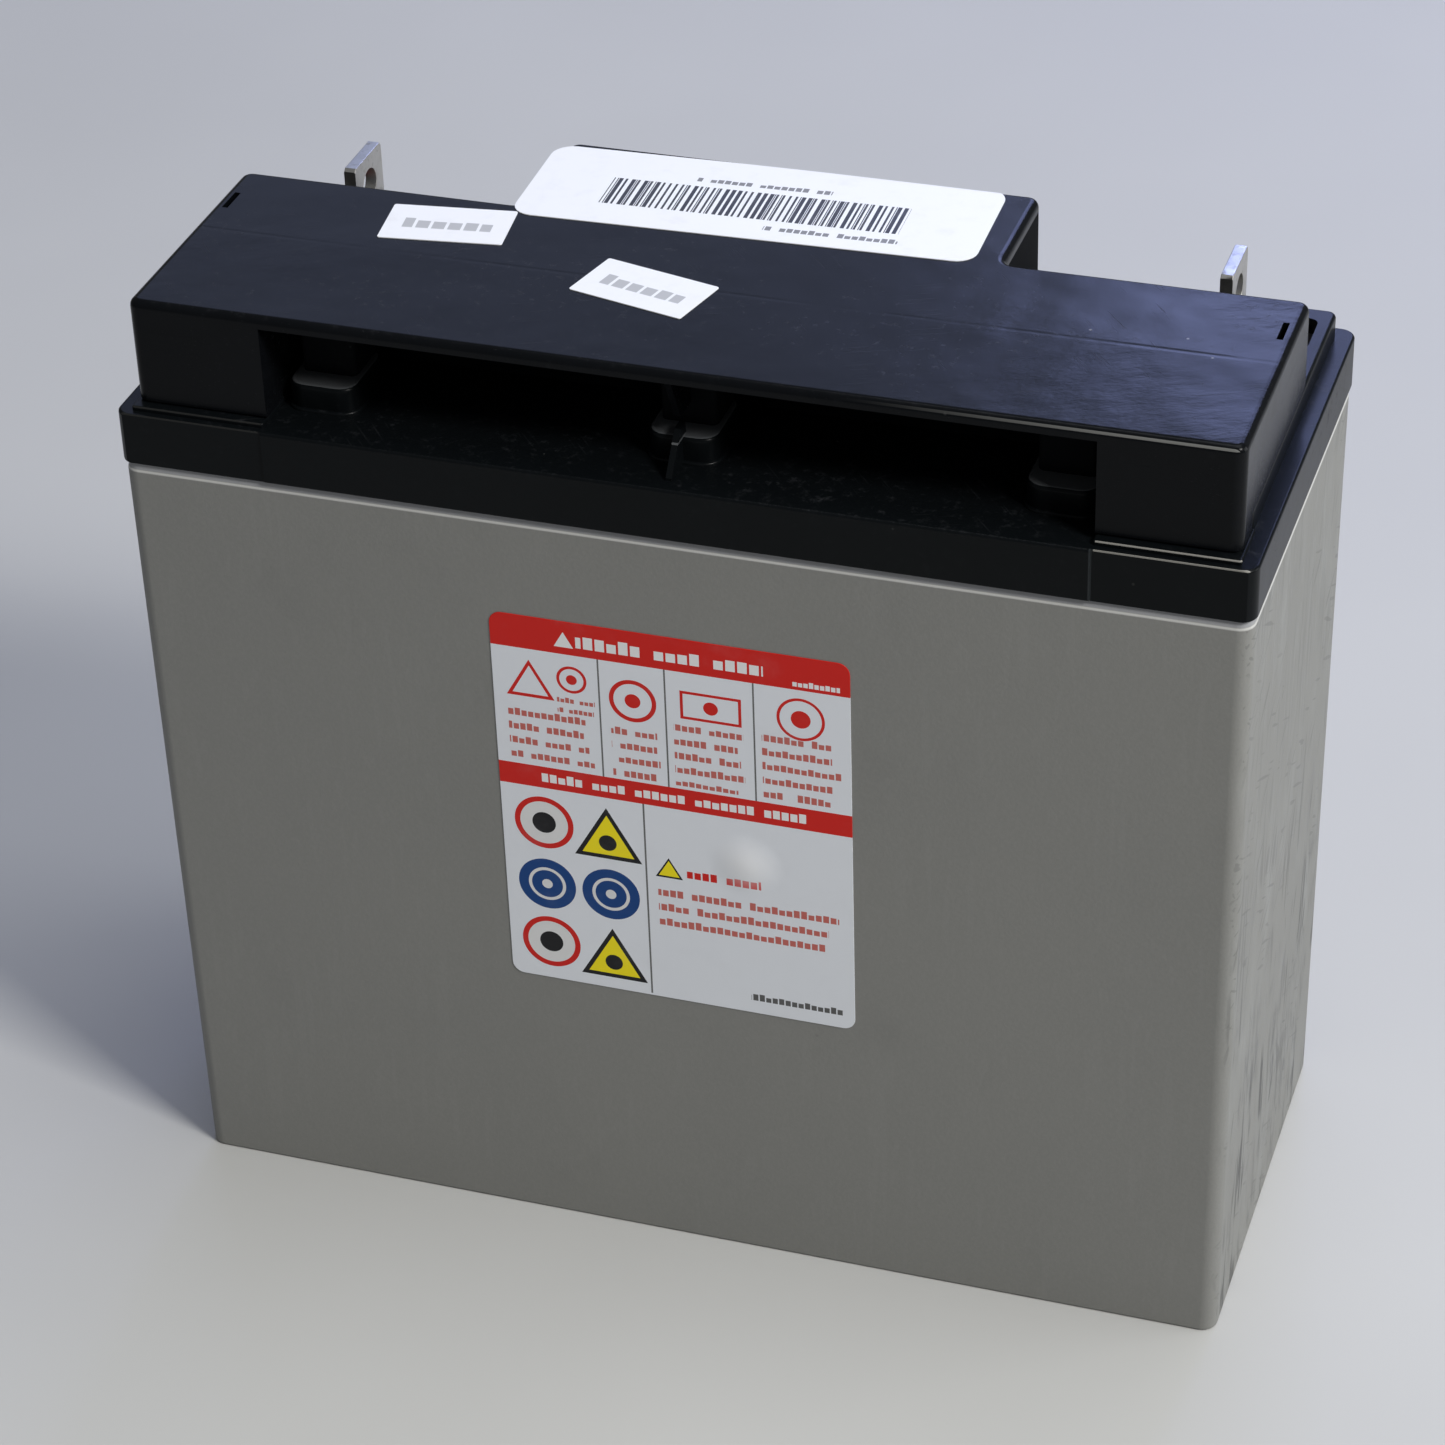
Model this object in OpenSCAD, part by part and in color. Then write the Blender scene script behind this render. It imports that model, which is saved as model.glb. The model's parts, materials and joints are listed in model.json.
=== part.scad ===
/* [Case] */
// Length of the case at its rim
case_l = 180.4; // [178:0.2:180.6]
// Width of the case at its rim
case_w = 75.2; // [74:0.1:75.4]
// Height of the case from the ground to its rim
case_h = 137.6; // [130:0.1:145]
// How far each end wall leans in from the rim down to the floor
case_draft = 0.9; // [0:0.1:1.5]
// Bevel along the rim, seen as a bright line under the lid
rim_bevel = 1.4; // [0.5:0.1:1.6]
// Radius of the upright corners
case_r = 2.6; // [1:0.1:4]
// Thickness of the outer walls
wall = 2.6; // [2.4:0.1:3]
// Thickness of the case floor
floor_t = 3; // [2:0.1:5]
// Thickness of the walls between the cells
partition_t = 1.6; // [1.2:0.1:2]

/* [Lid] */
// Length of the lid, the longest size of the battery
lid_l = 181; // [181:0.1:182]
// Width of the lid over its front panel
lid_w = 76; // [76:0.1:77]
// Height of the lid's outer band
band_h = 8.9; // [8:0.1:10]
// How far the middle of the front band stands proud of its two ends
panel_proud = 0.3; // [0.1:0.1:0.4]
// Height of the raised plateau above the band
plateau_h = 4; // [3:0.5:5]
// Outside radius of a vent chimney
chimney_r = 4.5; // [4:0.1:5]
// Inside radius of a vent chimney
chimney_bore_r = 3; // [2:0.1:3.2]

/* [Top cover] */
// Height of the battery to the top of the cover
cover_top = 165; // [164:0.5:167]
// Length of the cover's crossbar
bar_l = 175.2; // [174:0.2:175.6]
// Front face of the crossbar
bar_front = -34.9; // [-35.5:0.1:-34]
// Rear face of the crossbar
bar_rear = 11.5; // [10.5:0.1:12.5]
// Length of the cover's stem
stem_l = 79; // [76:0.5:80]
// Rear face of the stem
stem_rear = 35; // [34:0.1:35.5]
// Bevel along the top edges
cover_bevel = 1; // [0.3:0.1:1.5]
// Thickness of the cover's walls
cover_t = 2; // [1.8:0.1:2.2]

/* [Hand grip] */
// Length of the hand grip slot
grip_l = 131.4; // [128:0.2:132]
// Back wall of the hand grip slot
grip_back = -10; // [-11:0.1:-9.5]
// Distance between the posts that hold the cover up in the slot
post_pitch = 59; // [57:0.5:59]
// Width of the pad under each post
pad_w = 11.4; // [10:0.2:12]

/* [Terminals] */
// Distance of each terminal blade from the middle
blade_x = 72.8; // [72:0.1:73.5]
// Middle of each terminal blade, front to back
blade_y = 25.15; // [25:0.05:25.5]
// Width of a blade
blade_w = 11.1; // [10:0.1:12]
// Thickness of a blade
blade_t = 2; // [1.5:0.1:2]
// Height of a blade's top edge
blade_top = 163; // [162:0.1:164]
// Height of the bolt hole's middle
bolt_z = 157.7; // [157:0.1:158]
// Radius of the bolt hole
bolt_r = 2.75; // [2.6:0.05:3.3]

/* [Cells] */
// Width of a plate, front to back
plate_w = 66; // [60:0.5:67]
// Height of the top edge of the plates
plate_top = 108; // [100:0.5:110]
// Thickness of a positive plate
positive_t = 2.4; // [2:0.1:2.4]
// Thickness of a negative plate
negative_t = 1.6; // [1.2:0.1:1.6]
// Thickness of a separator mat
mat_t = 1.15; // [1:0.05:1.15]

/* [Vent caps] */
// Outside radius of a rubber vent cap
cap_r = 6; // [5.8:0.1:6.5]
// Height of the top of a vent cap when it is seated
cap_top = 162.3; // [161.8:0.1:162.3]

/* [Labels] */
// Thickness of a label
label_t = 0.15; // [0.1:0.05:0.2]
// Length of the label on the front of the case
front_label_l = 58.6; // [40:0.1:70]
// Height of the label on the front of the case
front_label_h = 70; // [40:0.5:90]
// Length of the label on the stem
barcode_label_l = 75.6; // [60:0.1:77]
// Width of the label on the stem
barcode_label_w = 25; // [18:0.1:25]
// Length of the two small labels on the crossbar
date_label_l = 20.2; // [14:0.1:22]
// Width of the two small labels on the crossbar
date_label_w = 11.5; // [8:0.1:12]

/* [Hidden] */

$fn = 48;
cut = 0.5;
fit = 0.05;

cells = 6;
cell_l = (case_l - 2 * wall - (cells - 1) * partition_t) / cells;
cell_pitch = cell_l + partition_t;
cell_w = case_w - 2 * wall;

// Tongue along the rim of the case, and the groove for it in the lid
shoulder = 1.2;
tongue_h = 2.6;
groove_h = 3.2;
groove_gap = 0.1;
skirt_t = 1;
rim_overlap = 0.4;

band_top = case_h + band_h;
plateau_top = band_top + plateau_h;
plateau_l = 175;
plateau_rear = 36;
plateau_r = 2;
arm_front = -28;
lid_bevel = [0.2, 0.5];
roof_t = 3;
deck_under = band_top - roof_t;
raised_under = plateau_top - roof_t;
raised_front = grip_back + roof_t;
raised_rear = bar_rear + 3.5;
valve_y = (grip_back + bar_rear) / 2;
chimney_top = 160.8;

ceiling = cover_top - cover_t;
cover_r = 2;
plinth_h = 0.8;
plinth_front = bar_front - 1.6;
plinth_end = plateau_l / 2 + 0.4;
corner_foot_z = band_top + plinth_h + 0.1;
corner_foot_rear = arm_front - 0.3;
gas_slot_x = [bar_l / 2 - 2.7, bar_l / 2 - 1.7];
gas_slot_y = [-1.8, 3.6];

// Pads on the lid and posts of the cover on them, with a fin between the two front edges
pad_front = -29.5;
pad_depth = 14;
pad_h = 4.5;
pad_r = 3;
post_front = -25;
post_w = 9;
post_depth = 9;
fin_t = 1;
lower_fin_top = band_top + 6.3;
lower_fin_front = bar_front - 0.3;
lower_fin_rear = pad_front + 1.5;
upper_fin_foot = ceiling - 8.2;
bead_r = cap_r + 0.3;
bead_h = 1.2;
cap_skirt_z = 152.5;
cap_bevel = 0.5;

// Terminal well, filled with resin above its floor
well = [25, 14.6];
well_r = 1.5;
well_floor = plateau_top - 6;
resin_top = plateau_top - 2.6;
boss_r = 6.4;
boss_under = well_floor - 5;
head_bevel = 0.5;
foot_l = 12;
foot_z = well_floor + 0.8;
post_x = blade_x - 6.5;
post_top = foot_z + blade_t + 0.4;
lead_post_r = 3.2;
post_hole_r = lead_post_r + 0.2;
seal_section_r = 0.95;
seal_seat_r = lead_post_r + 2 * seal_section_r + 0.1;
seal_seat_h = 2.2;

// Plate pack, built from the middle of a cell outwards
plate_floor = floor_t + 1.5;
mat_gap = 0.05;
pack_pitch = positive_t + negative_t + 2 * mat_t + 4 * mat_gap;
lug_w = 10;
lug_y = 22.5;
strap_z = plate_top + 5;
strap_w = 12;
strap_h = 5;
strap_l = cell_l - 0.4;
tab_t = 3;
tab_top = strap_z + 19;
tab_face = cell_l / 2 - 0.1;
weld_z = strap_z + 12;
weld_r = 3.4;
mat_w = cell_w - 1.2;
mat_top = plate_top + 3;

front_label_at = [-0.5, 85];
front_label_r = 2;
barcode_label_at = [-3.1, 21.4];
barcode_label_turn = 1.6;
barcode_label_r = 3.5;
date_label_left_at = [-48.5, 1.6];
date_label_left_turn = 7;
date_label_middle_at = [-11.5, -10.8];
date_label_middle_turn = -13.8;
date_label_r = 0.4;

case_grey = [0.45, 0.44, 0.42];
black = [0.06, 0.06, 0.07];
lead_grey = [0.42, 0.43, 0.45];
tin = [0.75, 0.75, 0.74];

function cell_x(i) = (i - (cells + 1) / 2) * cell_pitch;
// Odd cells have their positive lugs at the back, even cells at the front
function positive_side(i) = i % 2 == 1 ? 1 : -1;
function negative_side(i) = -positive_side(i);

// Box from one corner to the opposite corner
module block(low, high) {
  translate(low) cube(high - low);
}

// Two blocks, one the mirror image of the other from left to right
module block_pair(low, high) {
  block(low, high);
  mirror([1, 0, 0]) block(low, high);
}

// Rectangle with round corners, centred
module round_rect(size, r) {
  square([size.x - 2 * r, size.y], center = true);
  square([size.x, size.y - 2 * r], center = true);
  for (sx = [-1, 1], sy = [-1, 1])
    translate([sx * (size.x / 2 - r), sy * (size.y / 2 - r)]) circle(r);
}

module round_block(size, r, z0, z1) {
  translate([0, 0, z0]) linear_extrude(z1 - z0) round_rect(size, r);
}

// Upright profile of a wall pair, with a bevel along its lower and its upper edge
module bevel_profile(half, z0, z1, low_bevel, high_bevel, lean = 0) {
  foot = half - lean;
  polygon([
    [-foot + low_bevel, z0], [foot - low_bevel, z0], [foot, z0 + low_bevel], [half, z1 - high_bevel],
    [half - high_bevel, z1], [-half + high_bevel, z1], [-half, z1 - high_bevel], [-foot, z0 + low_bevel]
  ]);
}

// Block with round upright corners and bevelled lower and upper edges
module bevel_block(size, r, z0, z1, low_bevel, high_bevel, lean = 0) {
  intersection() {
    round_block(size, r, z0, z1);
    rotate([90, 0, 0]) linear_extrude(size.y + 2, center = true)
      bevel_profile(size.x / 2, z0, z1, low_bevel, high_bevel, lean);
    rotate([90, 0, 90]) linear_extrude(size.x + 2, center = true)
      bevel_profile(size.y / 2, z0, z1, low_bevel, high_bevel);
  }
}

// Outline of the case walls from outside by the given step down to their inner faces
module wall_ring(step_out, step_in) {
  difference() {
    round_rect([case_l - 2 * step_out, case_w - 2 * step_out], case_r - shoulder + rim_overlap);
    square([case_l - 2 * step_in, case_w - 2 * step_in], center = true);
  }
}

// Plan of the rim: the four walls and the walls between the cells
module rim_plan(step_out, step_in, web_t) {
  wall_ring(step_out, step_in);
  for (i = [1:cells - 1])
    translate([cell_x(i) + cell_pitch / 2, 0]) square([web_t, cell_w + rim_overlap], center = true);
}

module case_body() {
  color(case_grey) difference() {
    union() {
      bevel_block([case_l, case_w], case_r, 0, case_h, 0.4, rim_bevel, case_draft);
      translate([0, 0, case_h - 1]) linear_extrude(tongue_h + 1)
        rim_plan(shoulder, wall, partition_t);
    }
    for (i = [1:cells])
      translate([cell_x(i) - cell_l / 2, -cell_w / 2, floor_t]) cube([cell_l, cell_w, case_h]);
    for (i = [1:cells - 1])
      translate([cell_x(i) + cell_pitch / 2, negative_side(i) * lug_y, weld_z]) rotate([0, 90, 0])
        cylinder(h = partition_t + 2 * cut, r = weld_r + fit, center = true);
  }
}

// Raised part of the lid: an apron across the back and two arms beside the hand grip
module plateau() {
  intersection() {
    bevel_block([plateau_l, 2 * plateau_rear], plateau_r, band_top - cut, plateau_top, 0, lid_bevel[1]);
    union() {
      block([-plateau_l / 2, grip_back, 0], [plateau_l / 2, plateau_rear, plateau_top]);
      block_pair([grip_l / 2, arm_front, 0], [plateau_l / 2, plateau_rear, plateau_top]);
    }
  }
}

// Pad that carries a post of the top cover
module post_pad(x) {
  translate([x, 0, band_top - cut]) linear_extrude(pad_h + cut) {
    translate([-pad_w / 2, pad_front + pad_r]) square([pad_w, pad_depth - pad_r]);
    translate([-pad_w / 2 + pad_r, pad_front]) square([pad_w - 2 * pad_r, pad_depth]);
    for (side = [-1, 1])
      translate([side * (pad_w / 2 - pad_r), pad_front + pad_r]) circle(pad_r);
  }
}

// Upright fin in the middle of the hand grip, drawn as [y, z] points
module fin(points) {
  translate([-fin_t / 2, 0, 0]) rotate([90, 0, 90]) linear_extrude(fin_t) polygon(points);
}

module lid() {
  seam_z = case_h;
  color(black) difference() {
    union() {
      difference() {
        bevel_block([lid_l, lid_w], case_r, seam_z, band_top, lid_bevel[0], lid_bevel[1]);
        block_pair([grip_l / 2, -lid_w, seam_z - cut], [lid_l, -lid_w / 2 + panel_proud, band_top + cut]);
      }
      plateau();
      block_pair([grip_l / 2, plinth_front, band_top - cut],
                 [plinth_end, arm_front + cut, band_top + plinth_h]);
      for (k = [-1:1]) post_pad(k * post_pitch);
      fin([[pad_front + cut, band_top - cut], [lower_fin_front, band_top - cut],
           [lower_fin_front, band_top + 0.4], [pad_front - 0.8, lower_fin_top],
           [lower_fin_rear, lower_fin_top], [lower_fin_rear, band_top + pad_h - cut],
           [pad_front + cut, band_top + pad_h - cut]]);
      for (i = [1:cells]) translate([cell_x(i), valve_y, plateau_top - cut])
        cylinder(h = chimney_top - plateau_top + cut, r = chimney_r);
    }
    // Groove for the tongue of the case
    translate([0, 0, seam_z - cut]) linear_extrude(groove_h + cut)
      rim_plan(shoulder - groove_gap, wall + groove_gap, partition_t + 2 * groove_gap);
    // Hollow above each cell, with a higher part under the plateau and the bore of the chimney
    for (i = [1:cells]) translate([cell_x(i), 0, 0]) {
      room = cell_l / 2 - groove_gap - skirt_t;
      end = cell_w / 2 - groove_gap - skirt_t;
      block([-room, -end, seam_z - cut], [room, end, deck_under]);
      block([-room, raised_front, seam_z], [room, raised_rear, raised_under]);
      translate([0, valve_y, seam_z]) cylinder(h = chimney_top, r = chimney_bore_r);
    }
    for (side = [-1, 1]) terminal_well_cut(side);
  }
  color(black) for (side = [-1, 1]) terminal_boss(side);
}

// Round column under the terminal well, which the lead post goes through
module terminal_boss(side) {
  translate([side * post_x, blade_y, 0]) difference() {
    translate([0, 0, boss_under]) cylinder(h = deck_under - boss_under + 0.2, r = boss_r);
    translate([0, 0, boss_under - cut]) cylinder(h = 10, r = post_hole_r);
    translate([0, 0, well_floor - seal_seat_h]) cylinder(h = 10, r = seal_seat_r);
  }
}

module terminal_well_cut(side) {
  translate([side * blade_x, blade_y, 0]) round_block(well, well_r, well_floor, plateau_top + cut);
  translate([side * post_x, blade_y, 0]) {
    translate([0, 0, deck_under - cut]) cylinder(h = 6, r = post_hole_r);
    translate([0, 0, well_floor - seal_seat_h]) cylinder(h = seal_seat_h + cut, r = seal_seat_r);
  }
}

module lid_sealant() {
  color([0.2, 0.2, 0.2]) translate([0, 0, case_h + tongue_h])
    linear_extrude(groove_h - tongue_h) rim_plan(shoulder, wall, partition_t);
}

// Outside of the cover: a crossbar with a stem behind it
module cover_body(z0) {
  bar_mid = (bar_front + bar_rear) / 2;
  translate([0, bar_mid, 0])
    bevel_block([bar_l, bar_rear - bar_front], cover_r, z0, cover_top, 0, cover_bevel);
  translate([0, (bar_mid + stem_rear) / 2, 0])
    bevel_block([stem_l, stem_rear - bar_mid], cover_r, z0, cover_top, 0, cover_bevel);
}

module top_cover() {
  end_wall = bar_l / 2 - cover_t;
  rear_wall = bar_rear - cover_t;
  color(black) difference() {
    union() {
      cover_body(plateau_top);
      intersection() {
        cover_body(corner_foot_z);
        block_pair([0, bar_front - 1, 0], [bar_l, corner_foot_rear, cover_top]);
      }
    }
    // Chamber over the vent caps, its arms down into the front feet, and the hollow stem
    block([-end_wall, grip_back + cover_t, 0], [end_wall, rear_wall, ceiling]);
    block_pair([grip_l / 2 + cover_t, bar_front + cover_t, 0], [end_wall, rear_wall, ceiling]);
    block([-stem_l / 2 + cover_t, 0, 0], [stem_l / 2 - cover_t, stem_rear - cover_t, ceiling]);
    // Hand grip slot, open at the front
    block([-grip_l / 2, bar_front - cut, 0], [grip_l / 2, grip_back, ceiling]);
    // Gas slots at both ends
    block_pair([gas_slot_x[0], gas_slot_y[0], ceiling - cut],
               [gas_slot_x[1], gas_slot_y[1], cover_top + cut]);
  }
  color(black) for (k = [-1:1]) translate([k * post_pitch, 0, 0])
    block([-post_w / 2, post_front, band_top + pad_h], [post_w / 2, post_front + post_depth, ceiling]);
  color(black) fin([[bar_front + 0.2, ceiling], [pad_front - 0.6, upper_fin_foot],
                    [post_front, upper_fin_foot], [post_front, ceiling]]);
}

// Rubber cap that sits over a vent chimney and seals on its top edge
module vent_cap(i) {
  color([0.1, 0.1, 0.1]) translate([cell_x(i), valve_y, 0]) rotate_extrude() polygon([
    [0, chimney_top], [chimney_r + fit, chimney_top], [chimney_r + fit, cap_skirt_z], [bead_r, cap_skirt_z],
    [bead_r, cap_skirt_z + bead_h], [cap_r, cap_skirt_z + bead_h], [cap_r, cap_top - cap_bevel],
    [cap_r - cap_bevel, cap_top], [0, cap_top]
  ]);
}

// Upright blade with a bolt hole, bent into a foot that the lead post goes through
module terminal(side) {
  rear = blade_w / 2;
  color(tin) mirror([side < 0 ? 1 : 0, 0, 0]) translate([blade_x, blade_y, 0]) difference() {
    union() {
      translate([-blade_t / 2, 0, 0]) rotate([90, 0, 90]) linear_extrude(blade_t) polygon([
        [-rear, foot_z], [rear, foot_z], [rear, blade_top - head_bevel], [rear - head_bevel, blade_top],
        [-rear + head_bevel, blade_top], [-rear, blade_top - head_bevel]
      ]);
      block([blade_t / 2 - foot_l, -rear, foot_z], [blade_t / 2, rear, foot_z + blade_t]);
    }
    translate([-cut - blade_t / 2, 0, bolt_z]) rotate([0, 90, 0]) cylinder(h = blade_t + 2 * cut, r = bolt_r);
    translate([post_x - blade_x, 0, foot_z - cut]) cylinder(h = blade_t + 2 * cut, r = lead_post_r + fit);
  }
}

// Lead post from the end cell's strap up through the lid to the terminal's foot
module terminal_post(side) {
  color(lead_grey) translate([side * post_x, blade_y, strap_z + strap_h])
    cylinder(h = post_top - strap_z - strap_h, r = lead_post_r);
}

module post_seal(side) {
  ring_z = well_floor - seal_seat_h + seal_section_r + fit;
  color([0.08, 0.08, 0.08]) translate([side * post_x, blade_y, ring_z]) rotate_extrude()
    translate([lead_post_r + seal_section_r + fit, 0]) circle(seal_section_r, $fn = 24);
}

// Resin that fills the well round the foot of the terminal
module terminal_resin(side) {
  plug = [well.x - 2 * fit, well.y - 2 * fit];
  color(side < 0 ? [0.55, 0.06, 0.05] : [0.03, 0.03, 0.03]) difference() {
    translate([side * blade_x, blade_y, 0]) round_block(plug, well_r, well_floor + fit, resin_top);
    mirror([side < 0 ? 1 : 0, 0, 0]) translate([blade_x, blade_y, 0]) {
      half_t = blade_t / 2 + fit;
      half_w = blade_w / 2 + fit;
      block([-half_t, -half_w, foot_z - fit], [half_t, half_w, plateau_top]);
      block([blade_t / 2 - foot_l - fit, -half_w, foot_z - fit], [half_t, half_w, foot_z + blade_t + fit]);
      translate([post_x - blade_x, 0, well_floor - 1])
        cylinder(h = foot_z + blade_t + 1.5 - well_floor, r = lead_post_r + fit);
    }
  }
}

// Plates of one sign in a cell, each with a lug on its top edge
module plates(i, count, t, side) {
  for (k = [0:count - 1]) {
    x = cell_x(i) + (k - (count - 1) / 2) * pack_pitch;
    block([x - t / 2, -plate_w / 2, plate_floor], [x + t / 2, plate_w / 2, plate_top]);
    block([x - t / 2, side * lug_y - lug_w / 2, plate_top - cut],
          [x + t / 2, side * lug_y + lug_w / 2, strap_z]);
  }
}

module positive_plates(i) {
  color([0.23, 0.13, 0.1]) plates(i, 4, positive_t, positive_side(i));
}

module negative_plates(i) {
  color([0.5, 0.51, 0.53]) plates(i, 5, negative_t, negative_side(i));
}

// Glass mats of a cell, each folded under one positive plate and up both its faces
module separators(i) {
  fold_z = plate_floor - mat_gap - mat_t;
  inner = positive_t / 2 + mat_gap;
  color([0.93, 0.93, 0.9]) for (k = [-1.5:1:1.5]) translate([cell_x(i) + k * pack_pitch, 0, 0]) {
    block_pair([inner, -mat_w / 2, fold_z], [inner + mat_t, mat_w / 2, mat_top]);
    block([-inner - cut, -mat_w / 2, fold_z], [inner + cut, mat_w / 2, fold_z + mat_t]);
  }
}

// Cast strap over the lugs, with a welded tab through the cell wall on the side toward
module strap(i, side, toward) {
  y = side * lug_y;
  color(lead_grey) translate([cell_x(i), 0, 0]) {
    block([-strap_l / 2, y - strap_w / 2, strap_z], [strap_l / 2, y + strap_w / 2, strap_z + strap_h]);
    if (toward != 0) {
      mirror([toward < 0 ? 1 : 0, 0, 0])
        block([tab_face - tab_t, y - strap_w / 2, strap_z], [tab_face, y + strap_w / 2, tab_top]);
      translate([toward * tab_face, y, weld_z]) rotate([0, toward * 90, 0]) translate([0, 0, -cut])
        cylinder(h = cut + 0.1 + partition_t / 2, r = weld_r);
    }
  }
}

module positive_strap(i) {
  strap(i, positive_side(i), i == 1 ? 0 : -1);
}

module negative_strap(i) {
  strap(i, negative_side(i), i == cells ? 0 : 1);
}

module front_label() {
  color("white") translate([front_label_at.x, -case_w / 2, front_label_at.y]) rotate([90, 0, 0])
    linear_extrude(label_t) round_rect([front_label_l, front_label_h], front_label_r);
}

// Label lying on top of the cover
module top_label(at, turn, size, r) {
  color("white") translate([at.x, at.y, cover_top]) rotate(turn) linear_extrude(label_t) round_rect(size, r);
}

case_body();  // case
lid();
lid_sealant();
top_cover();
terminal(1);  // terminal_negative
terminal(-1);  // terminal_positive
terminal_post(1);  // terminal_post_negative
terminal_post(-1);  // terminal_post_positive
post_seal(1);  // post_seal_negative
post_seal(-1);  // post_seal_positive
terminal_resin(1);  // terminal_resin_negative
terminal_resin(-1);  // terminal_resin_positive
for (i = [1:cells]) {
  vent_cap(i);
  positive_plates(i);
  negative_plates(i);
  separators(i);
  positive_strap(i);
  negative_strap(i);
}
front_label();
top_label(barcode_label_at, barcode_label_turn, [barcode_label_l, barcode_label_w], barcode_label_r);  // barcode_label
top_label(date_label_left_at, date_label_left_turn, [date_label_l, date_label_w], date_label_r);  // date_label_left
top_label(date_label_middle_at, date_label_middle_turn, [date_label_l, date_label_w], date_label_r);  // date_label_middle
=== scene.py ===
"""Looks of a sealed deep cycle battery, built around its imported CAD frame. Metres, +Z up."""
import json
import math

import bmesh
import bpy
from mathutils import Matrix, Vector


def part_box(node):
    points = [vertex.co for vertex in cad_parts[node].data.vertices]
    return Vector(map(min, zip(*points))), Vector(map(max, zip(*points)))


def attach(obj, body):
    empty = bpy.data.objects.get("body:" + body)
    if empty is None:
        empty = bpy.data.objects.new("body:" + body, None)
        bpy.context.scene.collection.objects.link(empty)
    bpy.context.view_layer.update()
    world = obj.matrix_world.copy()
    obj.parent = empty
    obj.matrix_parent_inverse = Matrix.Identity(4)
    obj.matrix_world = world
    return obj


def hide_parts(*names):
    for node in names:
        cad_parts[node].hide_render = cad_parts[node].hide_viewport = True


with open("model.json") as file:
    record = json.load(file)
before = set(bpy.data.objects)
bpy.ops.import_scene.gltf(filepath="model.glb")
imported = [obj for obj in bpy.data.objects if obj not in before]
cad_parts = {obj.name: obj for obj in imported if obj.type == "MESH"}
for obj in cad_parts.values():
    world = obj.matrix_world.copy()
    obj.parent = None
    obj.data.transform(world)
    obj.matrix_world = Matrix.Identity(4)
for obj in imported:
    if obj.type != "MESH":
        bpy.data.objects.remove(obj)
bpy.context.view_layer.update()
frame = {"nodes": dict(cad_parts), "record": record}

MM = 0.001
# The fixed body, which every piece made here belongs to
HOUSING = "housing"

case_low, case_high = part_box("case")
lid_low, lid_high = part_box("lid")
cover_low, cover_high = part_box("top_cover")
front_label_low, front_label_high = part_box("front_label")
blade_low, blade_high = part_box("terminal_negative")
caps = sorted(name for name in frame["nodes"] if name.startswith("vent_cap_"))

# Heights of the moulded steps, from the ground up
TONGUE_H = 2.6 * MM
BAND_H = 8.9 * MM
PLATEAU_H = 4 * MM
rim_z = case_high.z - TONGUE_H
band_z = rim_z + BAND_H
plateau_z = band_z + PLATEAU_H
cover_z = cover_high.z
COVER_WALL = 2 * MM
ceiling_z = cover_z - COVER_WALL

# Case, which is this much narrower at the floor, at each end
CASE_LEAN = 0.9 * MM
# Sloping rim
RIM_H = 1.4 * MM
RIM_INSET = 0.5 * MM
RIM_ROUND = 0.25 * MM
CORNER = 2.6 * MM
WALL = 2.6 * MM
PARTITION = 1.6 * MM
FLOOR = 3 * MM
CELLS = 6
cell_l = (case_high.x - case_low.x - 2 * WALL - (CELLS - 1) * PARTITION) / CELLS
cell_pitch = cell_l + PARTITION
cell_y = case_high.y - WALL
# How far the tongue stands in from the case wall
SHOULDER = 1.2 * MM
# Holes for the welds between cells
WELD_R = 3.45 * MM
WELD_Y = 22.5 * MM
WELD_Z = 125 * MM

# Lid
PANEL_PROUD = 0.3 * MM
PANEL_ROUND = 0.25 * MM
BAND_FOOT = 0.25 * MM
BAND_TOP = 0.5 * MM
# Half the width of the hand grip slot, and its back wall
GRIP_X = 65.7 * MM
GRIP_BACK = -10 * MM
PLATEAU_X = 87.5 * MM
PLATEAU_REAR = 36 * MM
ARM_FRONT = -28 * MM
# Pads under the posts of the cover: pitch, front, depth, half width, height and the step round the foot
PAD_PITCH = 59 * MM
PAD_FRONT = -29.5 * MM
PAD_DEPTH = 14 * MM
PAD_X = 5.7 * MM
PAD_H = 4.5 * MM
PAD_FOOT = 0.5 * MM
FIN_T = 1 * MM
CHIMNEY_R = 4.5 * MM
CHIMNEY_BORE_R = 3 * MM
# Groove that takes the tongue of the case, with room for the sealant
GROOVE_H = 3.2 * MM
GROOVE_FIT = 0.1 * MM
# Terminal wells: half length, half width and depth
WELL = (12.5 * MM, 7.3 * MM)
WELL_DEPTH = 6 * MM

# Top cover: a crossbar, with a stem to the rear
STEM_X = 39.5 * MM
BAR_REAR = 11.5 * MM
COVER_CORNER = 1.9 * MM
COVER_ROUND = 1.3 * MM
COVER_FIT = 0.15 * MM
# Posts that stand on the pads
POST_X = 4.5 * MM
POST_FRONT = -25 * MM
POST_DEPTH = 9 * MM
# Slots that let gas out, near the ends of the crossbar
GAS_SLOT_X = (cover_high.x - 2.7 * MM, cover_high.x - 1.7 * MM)
GAS_SLOT_Y = (-1.8 * MM, 3.6 * MM)

# Blades: thickness, clipped corners, bolt hole and the lead post that comes through the foot
BLADE_T = 2 * MM
BLADE_CLIP = 0.5 * MM
BOLT_Z = 157.7 * MM
BOLT_R = 2.75 * MM
POST_HOLE_R = 3.25 * MM
POST_INSET = 6.5 * MM
blade_x = blade_high.x - BLADE_T / 2
blade_y = (blade_low.y + blade_high.y) / 2

# Rounded edge of every label, and corner of the front one
FILM_ROUND = 0.03 * MM
LABEL_CORNER = 2 * MM
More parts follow.
